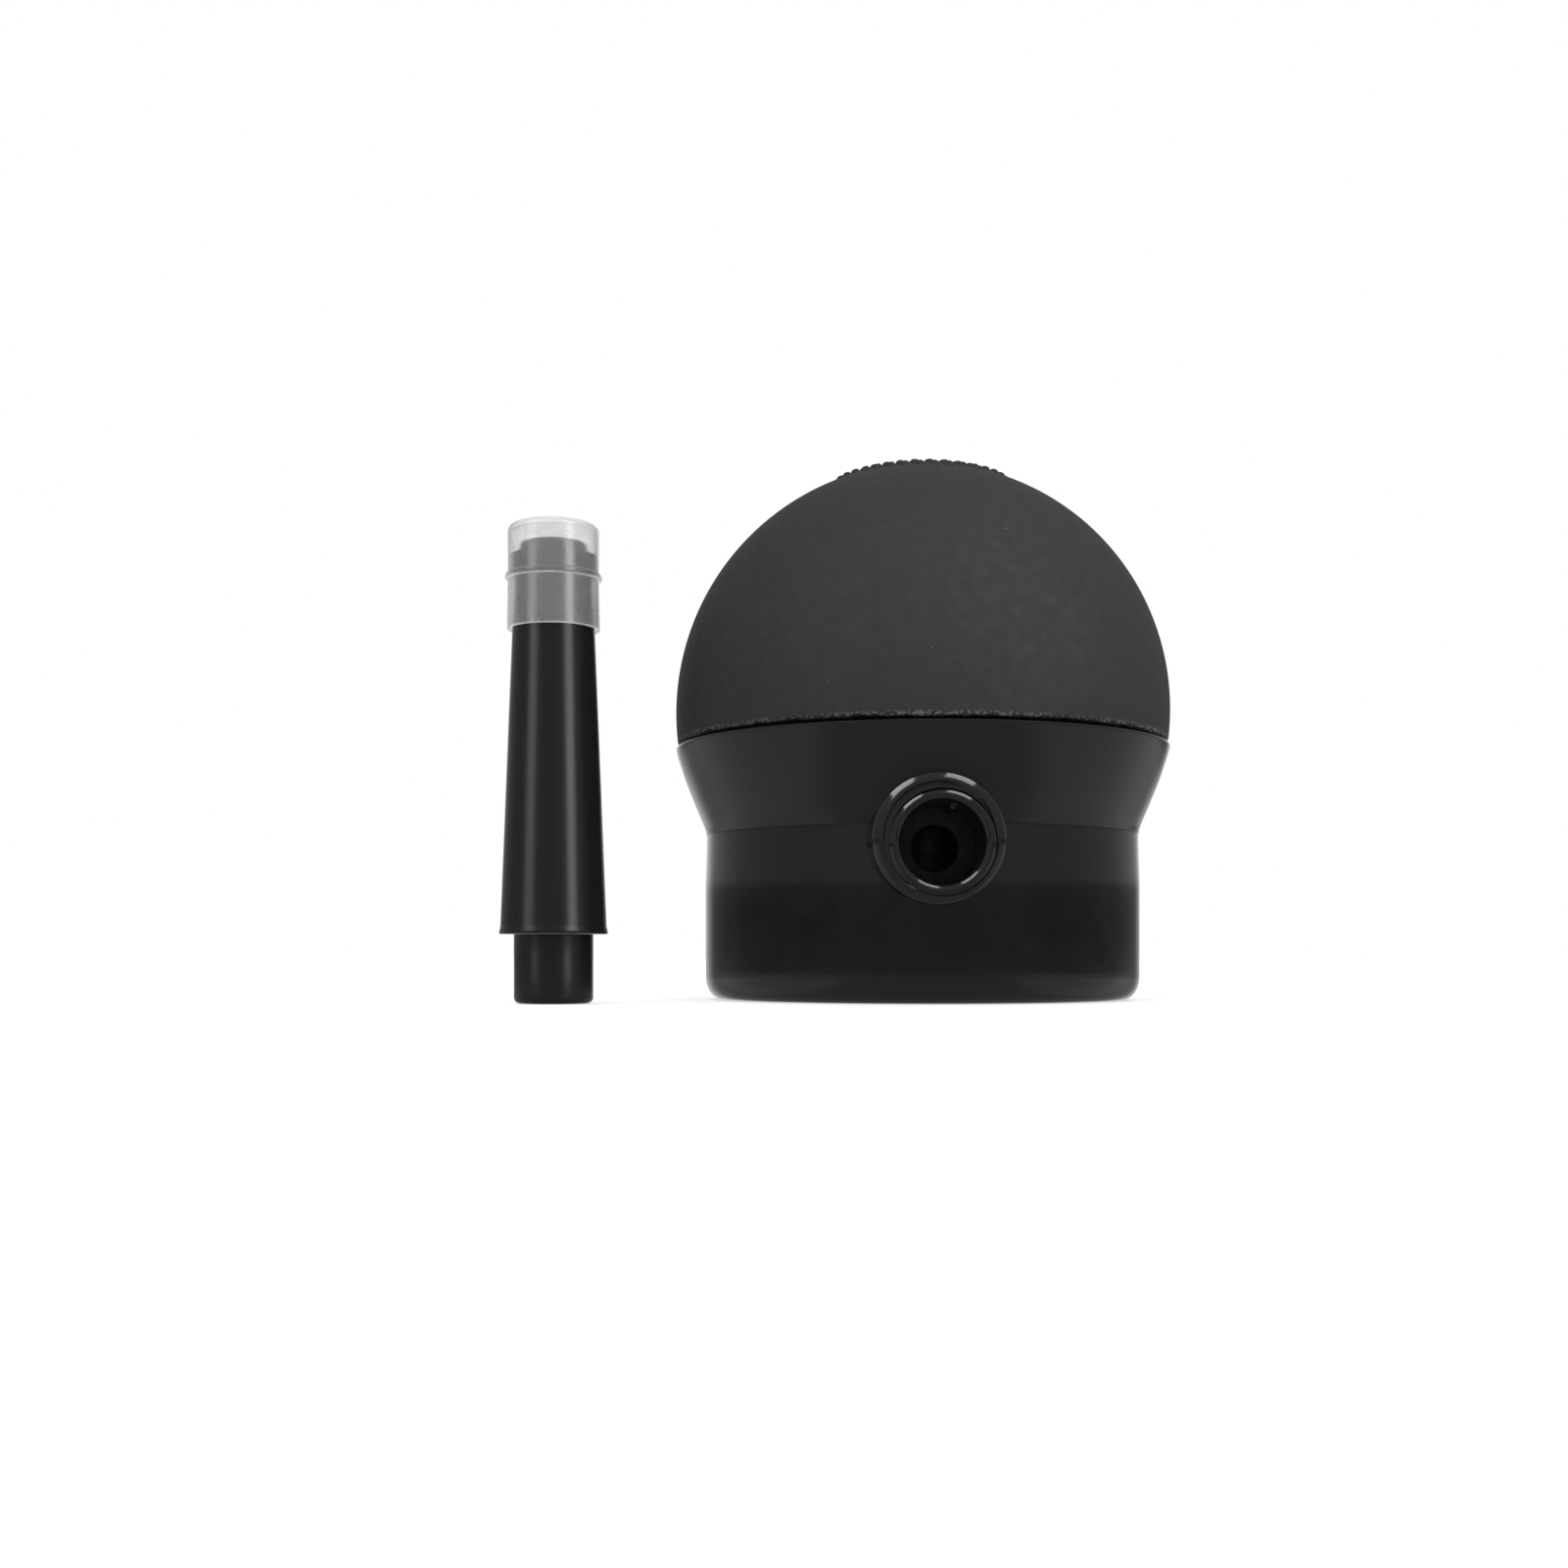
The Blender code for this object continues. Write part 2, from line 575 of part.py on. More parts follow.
def add_nozzle_set(finishes):
    axis = bpy.data.objects.new("nozzle_axis", None)
    bpy.context.scene.collection.objects.link(axis)
    axis.location = (NOZZLE_X, NOZZLE_Y, 0)
    add_nozzle(finishes["black"], axis)
    add_nozzle_tip(finishes["black"], axis)
    add_nozzle_cap(finishes["frosted"], axis)


def main():
    clear_scene()
    finishes = {
        "black": material("black_plastic", BLACK_PLASTIC, 0.25),
        "bulb": material("bulb_rubber", DARK_RUBBER, 0.75),
        "seal": material("seal_rubber", SEAL_RUBBER, 0.6),
        "grey": material("grey_plastic", GREY_PLASTIC, 0.45),
        "frosted": material("frosted_plastic", FROSTED_PLASTIC, 0.4),
    }
    add_pump(finishes)
    add_nozzle_set(finishes)


main()
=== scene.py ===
import math

import bmesh
import bpy
import numpy as np
from mathutils import Matrix, Vector


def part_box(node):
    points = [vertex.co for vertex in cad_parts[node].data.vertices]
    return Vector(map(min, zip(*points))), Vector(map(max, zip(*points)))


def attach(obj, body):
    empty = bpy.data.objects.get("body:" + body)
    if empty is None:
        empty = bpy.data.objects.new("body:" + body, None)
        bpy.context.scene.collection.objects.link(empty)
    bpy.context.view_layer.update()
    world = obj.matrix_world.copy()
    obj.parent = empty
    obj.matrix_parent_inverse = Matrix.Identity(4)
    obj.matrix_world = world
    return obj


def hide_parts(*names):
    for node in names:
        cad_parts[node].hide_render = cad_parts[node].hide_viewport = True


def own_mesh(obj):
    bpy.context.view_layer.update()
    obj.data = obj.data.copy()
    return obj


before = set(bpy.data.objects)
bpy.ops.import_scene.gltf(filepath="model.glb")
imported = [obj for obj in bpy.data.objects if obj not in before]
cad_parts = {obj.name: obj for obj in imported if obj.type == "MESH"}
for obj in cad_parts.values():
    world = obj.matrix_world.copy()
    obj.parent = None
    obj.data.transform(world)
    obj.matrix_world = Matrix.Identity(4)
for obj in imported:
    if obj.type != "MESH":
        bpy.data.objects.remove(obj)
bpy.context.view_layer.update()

MM = 0.001
SHARP_DEG = 40  # edges that turn by more than this stay sharp, unless a piece says otherwise

# Boxes of the CAD nodes, which give the places and the main sizes
HOUSING_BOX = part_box("housing")
BULB_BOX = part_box("bulb")
CROWN_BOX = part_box("bulb_crown")
GASKET_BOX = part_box("bottle_gasket")
SLEEVE_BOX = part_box("port_sleeve")
TUBE_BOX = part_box("nozzle_tube")
TIP_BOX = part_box("nozzle_tip")
CAP_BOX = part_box("nozzle_cap")


def middle(box):
    return (box[0] + box[1]) / 2


def half_width(box):
    return (box[1].x - box[0].x) / 2


PUMP = Vector((middle(GASKET_BOX).x, middle(GASKET_BOX).y, 0))
NOZZLE = Vector((middle(TUBE_BOX).x, middle(TUBE_BOX).y, 0))
PORT_Z = middle(SLEEVE_BOX).z
PORT_REACH = PUMP.y - HOUSING_BOX[0].y
RIM_Z = HOUSING_BOX[1].z
RIM_R = HOUSING_BOX[1].x - PUMP.x
BULB_R = BULB_BOX[1].x - PUMP.x

# Housing
SKIRT_R = 22.0 * MM
SKIRT_BORE_R = 19.6 * MM
BOTTOM_ROUND = (1.6 * MM, 2.3 * MM)  # width and height of the rounded lower edge
WAIST_R = 21.88 * MM
WAIST_Z = 16.3 * MM
RIM_BORE_R = 22.75 * MM
LEDGE_Z = 21.6 * MM
DECK_BOTTOM_Z = 7.6 * MM
DECK_TOP_Z = 8.9 * MM
DECK_HOLE_R = 12.5 * MM

# Bottle thread inside the skirt
THREAD_RIDGE = 0.9 * MM
THREAD_HALF_WIDTH = 0.95 * MM
THREAD_SINK = 0.3 * MM  # how far its flanks and its ends run into the wall
THREAD_BACK = 0.9 * MM  # how deep its hidden back lies in the wall
THREAD_PITCH = 2.8 * MM
THREAD_START_Z = 2.0 * MM
THREAD_TURNS = 1.25

# Outlet port
COLLAR_R = 6.0 * MM
COLLAR_EDGE_R = 0.9 * MM
COLLAR_NECK_R = 5.3 * MM
COLLAR_RECESS = 0.3 * MM  # from its front edge back to its flat face
COLLAR_OFFSET = Vector((-0.3, 0, 0.4)) * MM  # it isn't quite concentric with the sleeve
PORT_BORE_R = 4.8 * MM
PORT_BORE_START = 15.5 * MM  # distance from the pump's axis
SLEEVE_R = 4.45 * MM
SLEEVE_LIP_R = 4.74 * MM
SLEEVE_LIP_LENGTH = 1.4 * MM
SLEEVE_BORE_R = 3.75 * MM
PASSAGE_R = 2.1 * MM
END_WALL_THICKNESS = 1.3 * MM
KEY_R = 0.42 * MM
KEY_START = 3.2 * MM  # depth inside the sleeve's front
KEY_END = 8.0 * MM
KEY_DROP = 0.26 * MM  # how far its centre line lies below the top of the bore
KEY_SIDE = 1.2 * MM  # and how far towards +X

# Bulb
BULB_CENTRE_Z = 29.0 * MM
BULB_WALL = 1.8 * MM
BULB_EDGE_Z = 25.82 * MM
BULB_EDGE_R = 0.45 * MM
EDGE_RIPPLE = 0.06 * MM
RIPPLE_REACH = 1.5 * MM  # height over which the ripple dies out
NECK_R = 22.4 * MM
LIP_INNER_R = 18.6 * MM
LIP_HEIGHT = 1.4 * MM
BEAD_PATCH_R = 8.7 * MM
BEAD_R = 0.45 * MM
BEAD_PITCH = 1.45 * MM
BEAD_HEIGHT = CROWN_BOX[1].z - (BULB_CENTRE_Z + BULB_R)
FINE_SKIN_R = BEAD_PATCH_R + 1.5 * MM  # inside this the skin's mesh is fine enough for beads
FINE_SKIN_STEP = 0.1 * MM

# Nozzle
PLUG_R = 3.65 * MM
PLUG_LENGTH = 6.4 * MM
NOZZLE_BORE_R = 2.8 * MM
NOZZLE_TOP_R = 3.6 * MM
TIP_HOLE_R = 1.0 * MM
TIP_CROWN_R = 3.1 * MM
TIP_CROWN_HEIGHT = 1.1 * MM
TIP_STEM_R = NOZZLE_BORE_R - 0.3 * MM
CAP_R = 4.2 * MM
CAP_MOUTH_R = 4.28 * MM
CAP_INNER_R = 3.95 * MM
CAP_ROOF = 0.6 * MM
CAP_BEAD_Z = 39.35 * MM
CAP_BEAD_HALF = 0.3 * MM  # half its height where it meets the wall
CAP_BEAD_CREST_HALF = 0.18 * MM  # and half its height at the crest

# Camera: it looks level along +Y from just above the floor
CAMERA_FROM_PUMP = Vector((-14.0, -185.5, 4.42)) * MM
CAMERA_LENS_MM = 41.58
CAMERA_SHIFT_Y = 0.1094

# Floor
FLOOR_HALF_SIDE = 3.0
FLOOR_DROP = 0.05 * MM  # keeps it from touching the faces that stand on it
FLOOR_GLOW = 0.6

# What the surfaces reflect, where the backdrop that the camera sees is 1. A band says where one brightness
# runs into the next, as a share of the direction: 0 is square to that axis, and 1 is straight along it.
TABLE_FRONT = 0.2
TABLE_SIDES = 0.5
TABLE_SIDES_BAND = (0.6, 0.86)
TABLE_EDGE_BAND = (-0.06, 0.01)
STUDIO_LOW = 0.21
STUDIO_SIDES = 0.15
STUDIO_SIDES_BAND = (0.6, 0.95)
STUDIO_HIGH = 0.3
STUDIO_HIGH_BAND = (0.03, 0.058)
SWEEP = 0.7
SWEEP_BAND = (0.8, 1.0)

# Lights: sizes and distances in metres
SUN_STRENGTH = 1.05
SUN_SPREAD_DEG = 80
SUN_TILT_DEG = 12
SOFTBOX_SIZE = (0.18, 0.65)
SOFTBOX_DISTANCE = 0.5
SOFTBOX_ELEVATION_DEG = 32
SOFTBOX_TARGET = Vector((-5, 0, 20)) * MM  # from the foot of the pump's axis
STRIP_SIZE = (0.22, 0.9)
STRIP_DISTANCE = 0.5
STRIP_FORWARD = 0.15  # how far its middle is in front of the port


# ---------- mesh tools ----------


def rounded(corners, steps=6):
    """An outline from corners (r, z, radius). A radius rounds its corner, but not the first or the last."""
    outline = []
    for i, (r, z, radius) in enumerate(corners):
        here = Vector((r, z))
        if radius == 0 or i in (0, len(corners) - 1):
            outline.append((r, z))
            continue
        before = (Vector(corners[i - 1][:2]) - here).normalized()
        after = (Vector(corners[i + 1][:2]) - here).normalized()
        half = before.angle(after) / 2
        start = here + before * radius / math.tan(half)
        end = here + after * radius / math.tan(half)
        centre = here + (before + after).normalized() * radius / math.sin(half)
        sweep = (start - centre).angle_signed(end - centre)
        for k in range(steps + 1):
            spoke = (start - centre).copy()
            spoke.rotate(Matrix.Rotation(-sweep * k / steps, 2))
            outline.append(tuple(centre + spoke))
    return outline


def smooth_line(points, steps):
    """A curve through the points (Catmull-Rom), with this many steps between one point and the next."""
    ends = [points[0], *points, points[-1]]
    line = []
    for a, b, c, d in zip(ends, ends[1:], ends[2:], ends[3:]):
        a, b, c, d = (np.array(p) for p in (a, b, c, d))
        for k in range(steps):
            t = k / steps
            slope = (c - a) * t
            bend = (2 * a - 5 * b + 4 * c - d) * t**2
            twist = (3 * b - a - 3 * c + d) * t**3
            line.append(tuple(0.5 * (2 * b + slope + bend + twist)))
    return line + [points[-1]]


def evenly(outline, longest):
    """The outline with every stretch longer than this cut into equal steps."""
    made = []
    for (r0, z0), (r1, z1) in zip(outline, outline[1:]):
        pieces = max(1, math.ceil(math.hypot(r1 - r0, z1 - z0) / longest))
        made += [(r0 + (r1 - r0) * k / pieces, z0 + (z1 - z0) * k / pieces) for k in range(pieces)]
    return made + [outline[-1]]


def add_object(name, data):
    obj = bpy.data.objects.new(name, data)
    bpy.context.scene.collection.objects.link(obj)
    return obj


def shade(mesh, sharp_deg):
    mesh.shade_smooth()
    mesh.set_sharp_from_angle(angle=math.radians(sharp_deg))


def new_object(name, bm, sharp_deg=SHARP_DEG):
    bmesh.ops.recalc_face_normals(bm, faces=bm.faces)
    mesh = bpy.data.meshes.new(name)
    bm.to_mesh(mesh)
    bm.free()
    shade(mesh, sharp_deg)
    return add_object(name, mesh)


def turned_mesh(outline, steps):
    """Turns an outline of (r, z) round Z. It closes on itself unless it starts and ends on the axis."""
    bm = bmesh.new()
    on_axis = 1e-9
    turns = [math.tau * i / steps for i in range(steps)]
    rings = []
    for r, z in outline:
        if r < on_axis:
            rings.append([bm.verts.new((0, 0, z))] * steps)
        else:
            rings.append([bm.verts.new((r * math.cos(a), r * math.sin(a), z)) for a in turns])
    closed = outline[0][0] > on_axis
    for here, there in zip(rings, rings[1:] + (rings[:1] if closed else [])):
        for i in range(steps):
            j = (i + 1) % steps
            corners = [here[i], here[j], there[j], there[i]]
            face = list(dict.fromkeys(corners))
            if len(face) > 2:
                bm.faces.new(face)
    return bm


def turned(name, outline, steps, place, sharp_deg=SHARP_DEG):
    obj = new_object(name, turned_mesh(outline, steps), sharp_deg)
    obj.data.transform(Matrix.Translation(place))
    return obj


def turned_along_port(name, outline, steps):
    """Like turned, but the outline's z is the distance from the pump's axis towards -Y, at port height."""
    obj = new_object(name, turned_mesh(outline, steps))
    place = Matrix.Translation(PUMP + Vector((0, 0, PORT_Z)))
    obj.data.transform(place @ Matrix.Rotation(math.radians(90), 4, "X"))
    return obj


def combine(obj, other, operation):
    """Applies a Boolean with another object, which is then removed."""
    modifier = obj.modifiers.new("combine", "BOOLEAN")
    modifier.operation = operation
    modifier.object = other
    graph = bpy.context.evaluated_depsgraph_get()
    mesh = bpy.data.meshes.new_from_object(obj.evaluated_get(graph))
    obj.modifiers.clear()
    obj.data = mesh
    mesh.name = obj.name
    bpy.data.objects.remove(other)
    shade(mesh, SHARP_DEG)


def stands_for(obj, material, slot, body, *nodes):
    """Gives the piece its material, and lets it ride in place of its CAD nodes. The slot is not used."""
    obj.data.materials.clear()
    obj.data.materials.append(material)
    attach(obj, body)
    if nodes:
        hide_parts(*nodes)
    return obj


# ---------- material tools ----------


def map_range(tree, source, band, values, blend="LINEAR"):
    """Runs from the first value to the second across the band, and holds them outside it."""
    node = tree.nodes.new("ShaderNodeMapRange")
    node.interpolation_type = blend
    for socket, value in zip(node.inputs[1:5], (*band, *values)):
        socket.default_value = value
    tree.links.new(source, node.inputs["Value"])
    return node.outputs["Result"]


def math_node(tree, operation, *sources):
    node = tree.nodes.new("ShaderNodeMath")
    node.operation = operation
    for source, socket in zip(sources, node.inputs):
        tree.links.new(source, socket)
    return node.outputs["Value"]


class Finish:
    """A Principled material with short ways to add procedural detail. Lengths are in millimetres."""

    def __init__(self, name, colour, roughness):
        self.material = bpy.data.materials.new(name)
        self.material.use_nodes = True
        self.tree = self.material.node_tree
        self.shader = self.tree.nodes["Principled BSDF"]
        self.shader.inputs["Base Color"].default_value = (*colour, 1)
        self.shader.inputs["Roughness"].default_value = roughness
        self.place = self.tree.nodes.new("ShaderNodeTexCoord").outputs["Object"]

    def link(self, source, target):
        self.tree.links.new(source, target)

    def stretched(self, scale):
        """The place on the object with each axis scaled, for grain that runs one way."""
        node = self.tree.nodes.new("ShaderNodeMapping")
        node.inputs["Scale"].default_value = scale
        self.link(self.place, node.inputs["Vector"])
        return node.outputs["Vector"]

    def noise(self, size_mm, detail=3, place=None):
        """Noise from 0 to 1 with features of about this size."""
        node = self.tree.nodes.new("ShaderNodeTexNoise")
        node.inputs["Scale"].default_value = 1 / (size_mm * MM)
        node.inputs["Detail"].default_value = detail
        self.link(place or self.place, node.inputs["Vector"])
        return node.outputs["Fac"]

    def dots(self, spacing_mm, dot_share):
        """1 on small round dots about this far apart, each with this share of the spacing as its radius."""
        node = self.tree.nodes.new("ShaderNodeTexVoronoi")
        node.inputs["Scale"].default_value = 1 / (spacing_mm * MM)
        self.link(self.place, node.inputs["Vector"])
        return map_range(self.tree, node.outputs["Distance"], (dot_share * 0.6, dot_share), (1, 0))

    def below_height(self, z_mm, blur_mm):
        """1 below this height and 0 above it."""
        split = self.tree.nodes.new("ShaderNodeSeparateXYZ")
        self.link(self.place, split.inputs["Vector"])
        return map_range(self.tree, split.outputs["Z"], ((z_mm - blur_mm) * MM, z_mm * MM), (1, 0))

    def mix(self, factor, first, second):
        """Runs from the first colour to the second with the factor. The first may be another mix."""
        node = self.tree.nodes.new("ShaderNodeMix")
        node.data_type = "RGBA"
        self.link(factor, node.inputs["Factor"])
        first_socket, second_socket = (socket for socket in node.inputs if socket.type == "RGBA")
        if isinstance(first, tuple):
            first_socket.default_value = (*first, 1)
        else:
            self.link(first, first_socket)
        second_socket.default_value = (*second, 1)
        return next(socket for socket in node.outputs if socket.type == "RGBA")

    def colours(self, factor, first, second):
        """The base colour runs from first to second with the factor."""
        self.link(self.mix(factor, first, second), self.shader.inputs["Base Color"])

    def roughness(self, noise, low, high):
        """The roughness runs from low to high over the middle of the noise, where most of it lies."""
        self.link(map_range(self.tree, noise, (0.3, 0.7), (low, high)), self.shader.inputs["Roughness"])

    def bump(self, source, height_mm, before=None):
        """Adds a bump of this height to the surface, on top of an earlier one if there is any."""
        node = self.tree.nodes.new("ShaderNodeBump")
        node.inputs["Strength"].default_value = 1
        node.inputs["Distance"].default_value = height_mm * MM
        self.link(source, node.inputs["Height"])
        if before is not None:
            self.link(before, node.inputs["Normal"])
        self.link(node.outputs["Normal"], self.shader.inputs["Normal"])
        return node.outputs["Normal"]


def black_gloss():
    """Injection-moulded black plastic, polished, with a trace of orange peel and a few dull patches."""
    finish = Finish("black_gloss", (0.005, 0.005, 0.0052), 0.1)
    finish.colours(finish.noise(6), (0.0045, 0.0045, 0.0046), (0.0056, 0.0056, 0.0058))
    finish.roughness(finish.noise(2.5), 0.07, 0.13)
    wave = finish.bump(finish.noise(3.5, 1), 0.004)
    finish.bump(finish.noise(0.25, 2), 0.0004, wave)
    return finish.material


def black_satin():
    """The nozzle's moulding: the same plastic from a finely blasted tool, drawn along its length."""
    finish = Finish("black_satin", (0.006, 0.006, 0.0062), 0.3)
    finish.colours(finish.noise(5), (0.0055, 0.0055, 0.0056), (0.0068, 0.0068, 0.007))
    along = finish.stretched((1, 1, 0.06))
    finish.roughness(finish.noise(0.8, 3, along), 0.24, 0.28)
    grain = finish.bump(finish.noise(0.12, 3), 0.0004)
    finish.bump(finish.noise(0.9, 2, along), 0.0004, grain)
    finish.shader.inputs["Specular IOR Level"].default_value = 0.24
    return finish.material


def bulb_rubber():
    """Matte rubber: a fine pebbled skin, faint blotches, pale dust specks, lighter patches near the lower
    edge.
    """
    finish = Finish("bulb_rubber", (0.015, 0.015, 0.0153), 0.8)
    blotches = finish.mix(finish.noise(7, 4), (0.0135, 0.0135, 0.0138), (0.017, 0.017, 0.0173))
    dusty = finish.mix(finish.dots(2.6, 0.035), blotches, (0.11, 0.11, 0.11))
    near_edge = finish.below_height(BULB_EDGE_Z / MM + 0.5, 0.35)
    patches = map_range(finish.tree, finish.noise(0.3, 3), (0.48, 0.58), (0, 1))
    # Lighter patches of colour on the rubber from about half a millimetre above the bulb's lower edge
    # downwards.
    lighter_edge_patches = math_node(finish.tree, "MULTIPLY", near_edge, patches)
    finish.colours(lighter_edge_patches, dusty, (0.09, 0.09, 0.09))
    finish.roughness(finish.noise(1.2, 3), 0.68, 0.82)
    pebble = finish.bump(finish.noise(0.16, 3), 0.006)
    finish.bump(finish.noise(1.5, 2), 0.008, pebble)
    finish.shader.inputs["Specular IOR Level"].default_value = 0.3
    return finish.material


def seal_rubber():
    """Smooth dark rubber for the discs, the O-ring and the gasket."""
    finish = Finish("seal_rubber", (0.02, 0.02, 0.021), 0.55)
    finish.colours(finish.noise(3), (0.017, 0.017, 0.018), (0.024, 0.024, 0.025))
    finish.roughness(finish.noise(0.8), 0.48, 0.62)
    finish.bump(finish.noise(0.2, 3), 0.003)
    return finish.material


def inner_plastic():
    """Unpolished dark moulding for the parts inside, with faint flow marks. On the port's end wall it is
    painted shade: that wall is part of the glossy sleeve, and the duller plastic stands for the shadow deep
    in the port.
    """
    finish = Finish("inner_plastic", (0.018, 0.018, 0.019), 0.5)
    finish.colours(finish.noise(4, 4), (0.015, 0.015, 0.016), (0.021, 0.021, 0.022))
    finish.roughness(finish.noise(1.0), 0.38, 0.52)
    finish.bump(finish.noise(0.15, 3), 0.0025)
    finish.shader.inputs["Specular IOR Level"].default_value = 0.2
    return finish.material


def frosted_plastic(name, clearness):
    """Soft translucent plastic: cloudy, with a blasted skin that blurs what is behind it."""
    finish = Finish(name, (0.9, 0.9, 0.9), 0.3)
    finish.colours(finish.noise(2.5, 3), (0.85, 0.85, 0.855), (0.92, 0.92, 0.925))
    finish.roughness(finish.noise(0.7, 2), 0.26, 0.36)
    finish.shader.inputs["Transmission Weight"].default_value = clearness
    finish.shader.inputs["IOR"].default_value = 1.18
    finish.shader.inputs["Coat Weight"].default_value = 0.5
    finish.shader.inputs["Coat Roughness"].default_value = 0.22
    return finish.material


# ---------- pieces of the pump ----------


def housing_outline():
    """From the foot up the outside to the rim, and back down the inside. It closes on itself."""
    width, height = BOTTOM_ROUND
    foot = SKIRT_R - width
    quarter = [math.radians(90 * k / 12) for k in range(13)]
    lower_edge = [(foot + width * math.sin(a), height * (1 - math.cos(a))) for a in quarter]
    flare = [
        (SKIRT_R, 11.5 * MM),
        (WAIST_R + 0.04 * MM, 14.5 * MM),
        (WAIST_R, WAIST_Z),
        (21.925 * MM, 16.7 * MM),
        (22.13 * MM, 17.5 * MM),
        (23.05 * MM, 19.7 * MM),
        (24.05 * MM, 22.2 * MM),
        (24.75 * MM, 24.3 * MM),
        (RIM_R, RIM_Z - 0.3 * MM),
    ]
    rim_top = (RIM_BORE_R + 0.9 * MM, RIM_Z, 0)
    rim = rounded([flare[-1] + (0,), (RIM_R, RIM_Z, 0.25 * MM), rim_top])
    inside = rounded([
        rim_top,
        (RIM_BORE_R, RIM_Z, 0.35 * MM),
        (RIM_BORE_R, LEDGE_Z, 0),
        (SKIRT_BORE_R, LEDGE_Z, 0.2 * MM),
        (SKIRT_BORE_R, DECK_TOP_Z, 0.4 * MM),
        (DECK_HOLE_R, DECK_TOP_Z, 0.3 * MM),
        (DECK_HOLE_R, DECK_BOTTOM_Z, 0.3 * MM),
        (SKIRT_BORE_R, DECK_BOTTOM_Z, 0.4 * MM),
        (SKIRT_BORE_R, 0, 0.2 * MM),
        (foot, 0, 0),
    ])
    skirt = evenly([lower_edge[-1], flare[0]], 0.7 * MM)
    return lower_edge[:-1] + skirt[:-1] + smooth_line(flare, 5)[:-1] + rim[:-1] + inside[:-1]


def make_housing(material):
    """The shell, with the port's bore cut through its wall."""
    housing = turned("housing_shell", housing_outline(), 256, PUMP)
    combine(housing, port_borer(), "DIFFERENCE")
    return stands_for(housing, material, "black_gloss", "pump", "housing")


def port_borer():
    """The cutter for the port's bore, from inside the wall to well past the collar."""
    end = PORT_REACH + 3.4 * MM
    bore = [(0, PORT_BORE_START), (PORT_BORE_R, PORT_BORE_START), (PORT_BORE_R, end), (0, end)]
    return turned_along_port("port_bore", bore, 96)


def make_collar(material):
    """The port's collar: a waisted neck out of the wall, a rolled front edge, and the bore through both."""
    root = SKIRT_BORE_R + 1.2 * MM
    front = PORT_REACH
    neck = smooth_line([
        (6.3 * MM, root),
        (5.7 * MM, root + 1.2 * MM),
        (COLLAR_NECK_R, root + 2.5 * MM),
        (COLLAR_NECK_R + 0.1 * MM, root + 3.4 * MM),
        (COLLAR_R - 0.1 * MM, front - 1.3 * MM),
    ], 6)
    face = rounded([
        neck[-1] + (0,),
        (COLLAR_R + 0.2 * MM, front, COLLAR_EDGE_R),
        (COLLAR_R - 1.0 * MM, front, 0.06 * MM),
        (COLLAR_R - 1.1 * MM, front - COLLAR_RECESS, 0.06 * MM),
        (0, front - COLLAR_RECESS, 0),
    ], 8)
    collar = turned_along_port("port_collar", [(0, root)] + neck[:-1] + face, 128)
    collar.data.transform(Matrix.Translation(COLLAR_OFFSET))
    combine(collar, port_borer(), "DIFFERENCE")
    collar.visible_glossy = False
    return stands_for(collar, material, "black_gloss", "pump")


def make_thread(material):
    """One rounded ridge inside the skirt that fades out at both ends. Its back is sunk in the wall."""
    steps_per_turn = 128
    steps = round(THREAD_TURNS * steps_per_turn)
    fade_steps = 12
    profile_steps = 8
    back_r = SKIRT_BORE_R + THREAD_BACK
    bm = bmesh.new()
    rings = []
    for i in range(steps + 1):
        fade = math.sin(math.pi / 2 * min(1, i / fade_steps, (steps - i) / fade_steps))
        profile = []
        for k in range(profile_steps + 1):
            across = -1 + 2 * k / profile_steps
            lift = THREAD_RIDGE * fade * math.cos(across * math.pi / 2) ** 0.8
            sink = THREAD_SINK * (1 - fade + abs(across) ** 4)
            profile.append((SKIRT_BORE_R + sink - lift, across))
        profile += [(back_r, 1), (back_r, -1)]
        angle = math.tau * i / steps_per_turn
        ring = []
        for r, across in profile:
            z = THREAD_START_Z + THREAD_PITCH * i / steps_per_turn + across * THREAD_HALF_WIDTH
            ring.append(bm.verts.new((r * math.cos(angle), r * math.sin(angle), z)))
        rings.append(ring)
    for here, there in zip(rings, rings[1:]):
        for k in range(len(here)):
            j = (k + 1) % len(here)
            bm.faces.new((here[k], here[j], there[j], there[k]))
    bm.faces.new(rings[0])
    bm.faces.new(rings[-1])
    thread = new_object("thread_ridge", bm)
    thread.data.transform(Matrix.Translation(PUMP))
    return stands_for(thread, material, "black_gloss", "pump")


def make_end_wall(material):
    """The wall at the back of the port's sleeve, with the narrower passage through it. It gets the duller
    inner plastic instead of the sleeve's gloss, as painted shade for the shadow deep in the port.
    """
    back = PUMP.y - SLEEVE_BOX[1].y
    outer_r = SLEEVE_BORE_R + 0.1 * MM
    outline = rounded([
        (PASSAGE_R, back, 0),
        (outer_r, back, 0.02 * MM),
        (outer_r, back + END_WALL_THICKNESS, 0.02 * MM),
        (PASSAGE_R, back + END_WALL_THICKNESS, 0.25 * MM),
        (PASSAGE_R, back + 0.1 * MM, 0),
    ])
    return stands_for(turned_along_port("port_end_wall", outline, 96), material, "inner_plastic", "pump")


